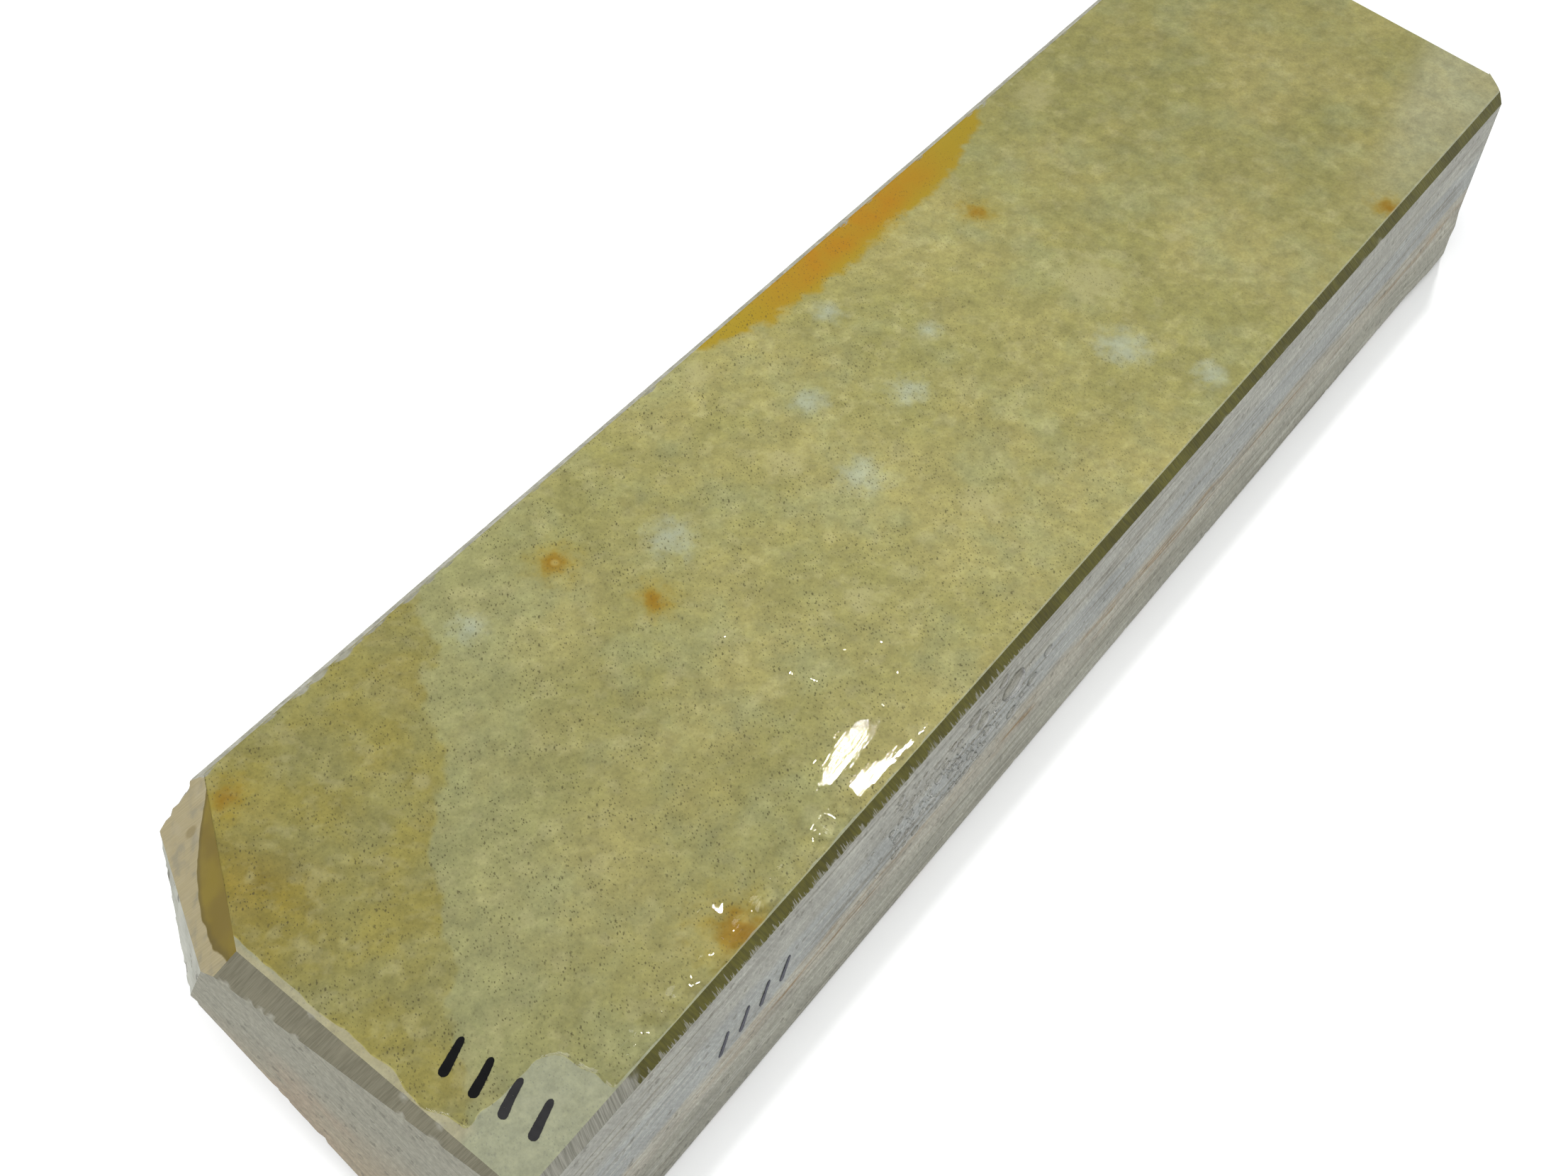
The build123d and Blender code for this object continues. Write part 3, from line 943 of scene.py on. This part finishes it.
def rippled(look):
    """The water's normal, with long fine ripples where it stands thick by the right edge."""
    streaks = look.noise((14.0, 0.55, 3.0), 3.0, 0.6, vector=look.turned(-6), seed=101.0)
    thick = look.spot((-47.0, -18.0, 0), 9, 1.2)
    along = look.product(look.ramp(look.x, -80, -70), look.ramp(look.x, -48, -56))
    strip = look.product(look.ramp(look.y, -20.5, -23.0), along)
    streaks = look.product(streaks, look.largest(thick, strip), 0.07)
    height = look.total(streaks, droplets(look, 3.2, 0.6, look.spot((-40.0, -13.5, 0), 10, 1.0)))
    chain = look.product(look.ramp(look.y, -22.6, -23.6), look.ramp(look.x, -50, -58))
    height = look.total(height, droplets(look, 2.2, 1.0, chain))
    return look.node("ShaderNodeBump", {"Height": height, "Distance": MM, "Strength": 1.0}).outputs[0]


def droplets(look, spacing, share, where):
    """The height in millimetres of small round drops scattered on the water."""
    inputs = {"Vector": look.scaled(look.place, (1 / spacing,) * 3), "Scale": 1.0}
    cells = look.node("ShaderNodeTexVoronoi", inputs, voronoi_dimensions="2D")
    pick = look.node("ShaderNodeSeparateXYZ", {0: cells.outputs["Color"]})
    reach = look.product(cells.outputs["Distance"], 1 / DROPLET_REACH)
    dome = look.largest(look.flipped(look.product(reach, reach)), 0.0)
    chosen = look.math("LESS_THAN", pick.outputs[0], look.product(where, share))
    return look.product(dome, chosen, DROPLET_RISE * spacing)


def water_look(name, middle, rim, roughness, ripples=False):
    """Clear water: what is behind shows through, with painted shade that darkens it towards the rims, under a
    mirror-like surface.
    """
    look = Look(name)
    # Painted shade: the see-through colour runs from middle to rim as the surface turns away, standing in for
    # the light that a curved drop bends away.
    facing = look.node("ShaderNodeLayerWeight", {"Blend": 0.35}).outputs["Facing"]
    through = look.node("ShaderNodeBsdfTransparent", {"Color": look.mix(facing, middle, rim)})
    gloss = look.node("ShaderNodeBsdfGlossy", {"Color": (1, 1, 1), "Roughness": roughness})
    share = look.node("ShaderNodeFresnel", {"IOR": 1.33})
    if ripples:
        for target in (gloss, share):
            look.put(target.inputs["Normal"], rippled(look))
    shaders = {0: share.outputs[0], 1: through.outputs[0], 2: gloss.outputs[0]}
    both = look.node("ShaderNodeMixShader", shaders)
    look.put(look.nodes["Material Output"].inputs["Surface"], both.outputs[0])
    look.nodes.remove(look.shader)
    return look.material


# The rim colour of each water is painted shade at its edges.
def film_look():
    return water_look("water_film", (0.99, 0.99, 0.98), (0.97, 0.97, 0.95), 0.02, ripples=True)


def bead_look():
    return water_look("water_bead", (1.0, 0.99, 0.97), (0.80, 0.80, 0.76), 0.03)


# A droplet's radius and height, as shares of the spacing
DROPLET_REACH = 0.36
DROPLET_RISE = 0.03

# The beads on the side: their meshes, their height as a share of their radius, and how many more are tried
BEAD_RINGS = 5
BEAD_SEGMENTS = 18
BEAD_UNEVEN = 0.05
BEAD_FLATNESS = 0.33
SPRAY = 300

FILM_DEPTH = 0.2
FILM_BURIED = 0.12
DRY_CORNER = (-90.3, -18.1)
DRY_ROUNDING = 2.8
# How wide the water's slope is at its margin
STEEP = 0.45
GENTLE = 1.8
SHEER = 0.05
# Swells of the water's surface: where, how high, how long and wide, and how far they are turned
SWELLS = (
    ((-47.0, -19.0), 0.36, (15.0, 1.5), 4),
    ((-46.0, -16.2), 0.20, (10.0, 1.2), 9),
    ((-60.0, -23.0), 0.30, (8.0, 1.0), 2),
    ((-71.0, -20.6), 0.26, (1.7, 0.8), 31),
    ((-20.0, -6.0), 0.05, (16.0, 9.0), 20),
    ((-70.0, 4.0), 0.05, (14.0, 10.0), -30),
)


def swells():
    """Every swell of the water: the listed ones, and a chain of small ones along the right edge."""
    yield from SWELLS
    places = random.Random(8)
    for _ in range(30):
        centre = (places.uniform(-87, -53), RIGHT + places.uniform(1.8, 3.0))
        yield centre, places.uniform(0.2, 0.36), (places.uniform(0.5, 0.8), 0.45), places.uniform(10, 50)


def top_outline():
    """The corners of the working face, in plan, anticlockwise."""
    bm, _ = plain_block()
    top = max(bm.faces, key=lambda face: face.calc_center_median().z)
    outline = [np.array(v.co.xy) for v in top.verts]
    bm.free()
    return outline


def margins(plan, outline):
    """For each stretch of the water's margin, how far inside it each point lies and how wide its slope is.

    The water stands up steeply along the right edge and round the dry corner, thins out towards the near end,
    and runs on level over the other edges.
    """
    flat = np.column_stack((plan, np.zeros(len(plan))))
    for here, there in zip(outline, outline[1:] + outline[:1]):
        along = (there - here) / np.linalg.norm(there - here)
        inward = np.array((-along[1], along[0]))
        inside = (plan - here) @ inward
        if inward[0] > 0.99:
            yield inside - 0.67 - 0.5 * rough(flat, 4.5, 150, 3), GENTLE
        elif inward[1] > 0.99:
            yield inside - 0.16 - 0.14 * rough(flat, 1.6, 152, 2) * ease(plan[:, 0], -20, -50), STEEP
        else:
            yield inside + 0.5, SHEER
    beyond = np.maximum(plan - (np.array(DRY_CORNER) - DRY_ROUNDING), 0)
    wander = 0.4 * value_noise(flat, 3.0, 155) + 0.15 * value_noise(flat, 1.1, 156)
    yield np.linalg.norm(beyond, axis=1) - DRY_ROUNDING - 0.15 + wander, STEEP


def wet_depth(plan, outline):
    """How far inside the water's margin each point lies. It is negative where the stone has dried."""
    return np.min([depth for depth, _ in margins(plan, outline)], axis=0)


def water_height(plan, outline):
    """How high the water stands at each point: flat in the middle, sloping down at its margin."""
    depth = wet_depth(plan, outline)
    height = np.full(len(plan), FILM_DEPTH)
    for inside, width in margins(plan, outline):
        height *= 1 - np.exp(-np.maximum(inside, 0) / width)
    for centre, rise, size, degrees in swells():
        turn = math.radians(degrees)
        away = plan - np.array(centre)
        along = away @ np.array((math.cos(turn), math.sin(turn))) / size[0]
        across = away @ np.array((-math.sin(turn), math.cos(turn))) / size[1]
        height += rise * np.exp(-(along**2 + across**2) / 2) * (1 - np.exp(-np.maximum(depth, 0) / 1.2))
    return np.where(depth > 0, height, np.maximum(depth, -FILM_BURIED))


def dome(bm, centre, axis, radius, height, seed):
    """A closed cap of water with a slightly uneven outline. axis points away from the surface it is on."""
    upright = Vector(axis).to_track_quat("Z", "Y").to_matrix()
    phases = random.Random(seed)
    lobes = [(k, BEAD_UNEVEN * phases.uniform(-1, 1), phases.uniform(0, 6.28)) for k in (2, 3, 5)]
    rows = []
    for ring in range(BEAD_RINGS):
        lift = ring / BEAD_RINGS
        row = []
        for step in range(BEAD_SEGMENTS):
            angle = 2 * math.pi * step / BEAD_SEGMENTS
            reach = 1 + sum(a * math.cos(k * angle + phase) for k, a, phase in lobes)
            out = radius * reach * math.cos(lift * math.pi / 2)
            up = height * math.sin(lift * math.pi / 2)
            local = Vector((out * math.cos(angle), out * math.sin(angle), up))
            row.append(bm.verts.new(Vector(centre) + upright @ local))
        rows.append(row)
    foot = [bm.verts.new(v.co - Vector(axis) * FILM_BURIED) for v in rows[0]]
    rows.insert(0, foot)
    for lower, upper in zip(rows, rows[1:]):
        for i in range(BEAD_SEGMENTS):
            j = (i + 1) % BEAD_SEGMENTS
            bm.faces.new((lower[i], lower[j], upper[j], upper[i]))
    tip = bm.verts.new(Vector(centre) + Vector(axis) * height)
    for i in range(BEAD_SEGMENTS):
        bm.faces.new((rows[-1][i], rows[-1][(i + 1) % BEAD_SEGMENTS], tip))
    bm.faces.new(list(reversed(foot)))


def build_film():
    """The water film: one closed sheet that dips into the stone at its margin."""
    outline = top_outline()
    bm = bmesh.new()
    sheet = bm.faces.new([bm.verts.new((*corner, TOP)) for corner in outline])
    bmesh.ops.inset_individual(bm, faces=[sheet], thickness=0.1, use_even_offset=True)
    bmesh.ops.delete(bm, geom=[f for f in bm.faces if f is not sheet], context="FACES")
    cut(bm, (1, 0, 0), bands((NEAR, -30.0, FAR), (0.3, 0.8)))
    cut(bm, (0, 1, 0), bands((RIGHT, -9.0, 23.0, LEFT), (0.28, 0.9, 0.3)))
    rim = [edge for edge in bm.edges if len(edge.link_faces) == 1]
    skirt = bmesh.ops.extrude_edge_only(bm, edges=rim)["geom"]
    foot = [part for part in skirt if isinstance(part, bmesh.types.BMVert)]
    plan = np.array([v.co.xy for v in bm.verts])
    height = water_height(plan, outline)
    for vert, rise in zip(bm.verts, height):
        vert.co.z = TOP + rise
    for vert in foot:
        vert.co.z = TOP - 2 * FILM_BURIED
    bmesh.ops.contextual_create(bm, geom=[e for e in bm.edges if len(e.link_faces) == 1])
    bmesh.ops.recalc_face_normals(bm, faces=bm.faces)
    film = piece_from(bm, "water_sheet", "water_film", "water", film_look())
    sharpen(film.data)


def piece_from(bm, name, node, slot, *materials):
    """Makes the visible piece that stands for a CAD node out of a mesh in millimetres."""
    bmesh.ops.scale(bm, vec=(MM,) * 3, verts=bm.verts)
    for face in bm.faces:
        face.smooth = slot == "water"
    mesh = bpy.data.meshes.new(name)
    bm.to_mesh(mesh)
    bm.free()
    for material in materials:
        mesh.materials.append(material)
    piece = link(bpy.data.objects.new(name, mesh))
    finish_piece(piece, node)
    return piece


def cad_beads():
    """Where along and how high each CAD bead is, and its radius, from the loose parts of the node's mesh."""
    bm = bmesh.new()
    bm.from_mesh(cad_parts["side_water_beads"].data)
    bmesh.ops.remove_doubles(bm, verts=bm.verts, dist=1e-6)
    left = set(bm.verts)
    beads = []
    while left:
        todo = [left.pop()]
        part = list(todo)
        while todo:
            for edge in todo.pop().link_edges:
                for vert in edge.verts:
                    if vert in left:
                        left.remove(vert)
                        todo.append(vert)
                        part.append(vert)
        low = np.min([v.co for v in part], axis=0) / MM
        high = np.max([v.co for v in part], axis=0) / MM
        beads.append(((low[0] + high[0]) / 2, (low[2] + high[2]) / 2, (high[0] - low[0]) / 2))
    bm.free()
    return sorted(beads)


def build_beads():
    """The drops on the right side: the CAD ones, and a spray of much smaller ones between them."""
    bm = bmesh.new()
    placed = cad_beads()
    places = random.Random(33)
    for _ in range(SPRAY):
        x = places.triangular(-54, -20, -38)
        z = places.triangular(11, 25, 19)
        radius = places.uniform(0.1, 0.36)
        if all(math.hypot(x - a, z - b) > radius + r + 0.08 for a, b, r in placed):
            placed.append((x, z, radius))
    for number, (x, z, radius) in enumerate(placed):
        dome(bm, (x, RIGHT, z), (0, -1, 0), radius, BEAD_FLATNESS * radius, number)
    piece_from(bm, "water_beads", "side_water_beads", "water", bead_look())


INK_THICK = 0.035
# How far the side's strokes stand off its plane, so that they clear the relief
SIDE_INK_OFF = 0.06
STROKES = 4
# A stroke's width, and its run: along and across the stone on top, along and up on the side
TOP_STROKE = 0.8, (3.3, 0.9)
SIDE_STROKE = 0.5, (0.9, 3.0)
STROKE_SAMPLES = 44


def ink_look(name, colour, roughness, worn, size):
    """Marker ink. worn is how much of it has rubbed off the grain of the stone."""
    look = Look(name)
    grain = look.noise(size, 4.0, 0.7, seed=7.0)
    streak = look.noise((0.12, 1.6, 1.6), 2.0, vector=look.turned(-15), seed=3.0)
    gone = look.math("LESS_THAN", look.total(grain, look.product(streak, 0.4)), 0.38 + worn)
    tone = look.mix(look.noise(0.8, 3.0), colour, tuple(1.9 * c + 0.004 for c in colour))
    look.put(look.shader.inputs["Base Color"], tone)
    look.shader.inputs["Roughness"].default_value = roughness
    look.shader.inputs["Specular IOR Level"].default_value = 0.12
    clear = look.node("ShaderNodeBsdfTransparent", {})
    both = look.node("ShaderNodeMixShader", {0: gone, 1: look.shader.outputs[0], 2: clear.outputs[0]})
    look.put(look.nodes["Material Output"].inputs["Surface"], both.outputs[0])
    return look.material


def on_top(u, v, rise):
    return u, v, TOP + rise


def on_side(u, v, rise):
    return u, RIGHT - SIDE_INK_OFF - rise, v


def pen_stroke(bm, start, lean, width, seed, place, material_index):
    """One pen stroke, slightly ragged: blunt where the pen came down, and narrower where it left."""
    shape = random.Random(seed)
    length = math.hypot(*lean)
    along = np.array(lean) / length
    side = np.array((-along[1], along[0]))
    bend = shape.uniform(-0.12, 0.12) * length
    left, right = [], []
    for i in range(STROKE_SAMPLES + 1):
        t = i / STROKE_SAMPLES
        run = -width / 2 + t * (length + width)
        rounding = min(1.0, min(t, 1 - t) * length / width * 1.6)
        half = 0.5 * width * (1.3 - 0.45 * t) * math.sqrt(1 - (1 - rounding) ** 2)
        middle = np.array(start) + along * run + side * bend * (t - t * t)
        left.append(middle + side * (half + shape.uniform(-0.02, 0.02)))
        right.append(middle - side * (half + shape.uniform(-0.02, 0.02)))
    rim = left + right[::-1]
    lower = [bm.verts.new(place(u, v, -INK_THICK)) for u, v in rim]
    upper = [bm.verts.new(place(u, v, INK_THICK)) for u, v in rim]
    count = len(rim)
    faces = []
    for i in range(count):
        j = (i + 1) % count
        faces.append((lower[i], lower[j], upper[j], upper[i]))
    for i in range(STROKE_SAMPLES):
        j = count - 1 - i
        faces.append((upper[i], upper[j], upper[j - 1], upper[i + 1]))
        faces.append((lower[i], lower[i + 1], lower[j - 1], lower[j]))
    for face in faces:
        bm.faces.new(face).material_index = material_index


def build_strokes(name, node, stroke, seed, place, *inks):
    """A row of pen strokes that fills its CAD node's box. Across the top it runs from left to right."""
    width, lean = stroke
    low, high = (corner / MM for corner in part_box(node))
    across = 1 if place is on_top else 2
    pitch = [(high[axis] - low[axis] - width - run) / (STROKES - 1) for axis, run in zip((0, across), lean)]
    bm = bmesh.new()
    for i in range(STROKES):
        step = STROKES - 1 - i if place is on_top else i
        start = (low.x + width / 2 + i * pitch[0], low[across] + width / 2 + step * pitch[1])
        pen_stroke(bm, start, lean, width, seed + i, place, i * len(inks) // STROKES)
    bmesh.ops.recalc_face_normals(bm, faces=bm.faces)
    piece_from(bm, name, node, "ink", *inks)


def build_ink():
    """The two rows of pen strokes: half wet and half dry on top, worn and dry on the side."""
    fresh = ink_look("ink_wet", (0.001, 0.001, 0.0015), 0.35, -0.14, 0.5)
    faded = ink_look("ink_dry", (0.011, 0.0105, 0.011), 0.6, 0.10, 0.3)
    build_strokes("top_strokes", "top_tally_ink", TOP_STROKE, 50, on_top, fresh, faded)
    worn = ink_look("ink_worn", (0.05, 0.05, 0.06), 0.7, 0.19, 0.5)
    build_strokes("side_strokes", "side_tally_ink", SIDE_STROKE, 60, on_side, worn)


make_camera()
make_light()
make_floor()
build_stone()
build_film()
build_beads()
build_ink()
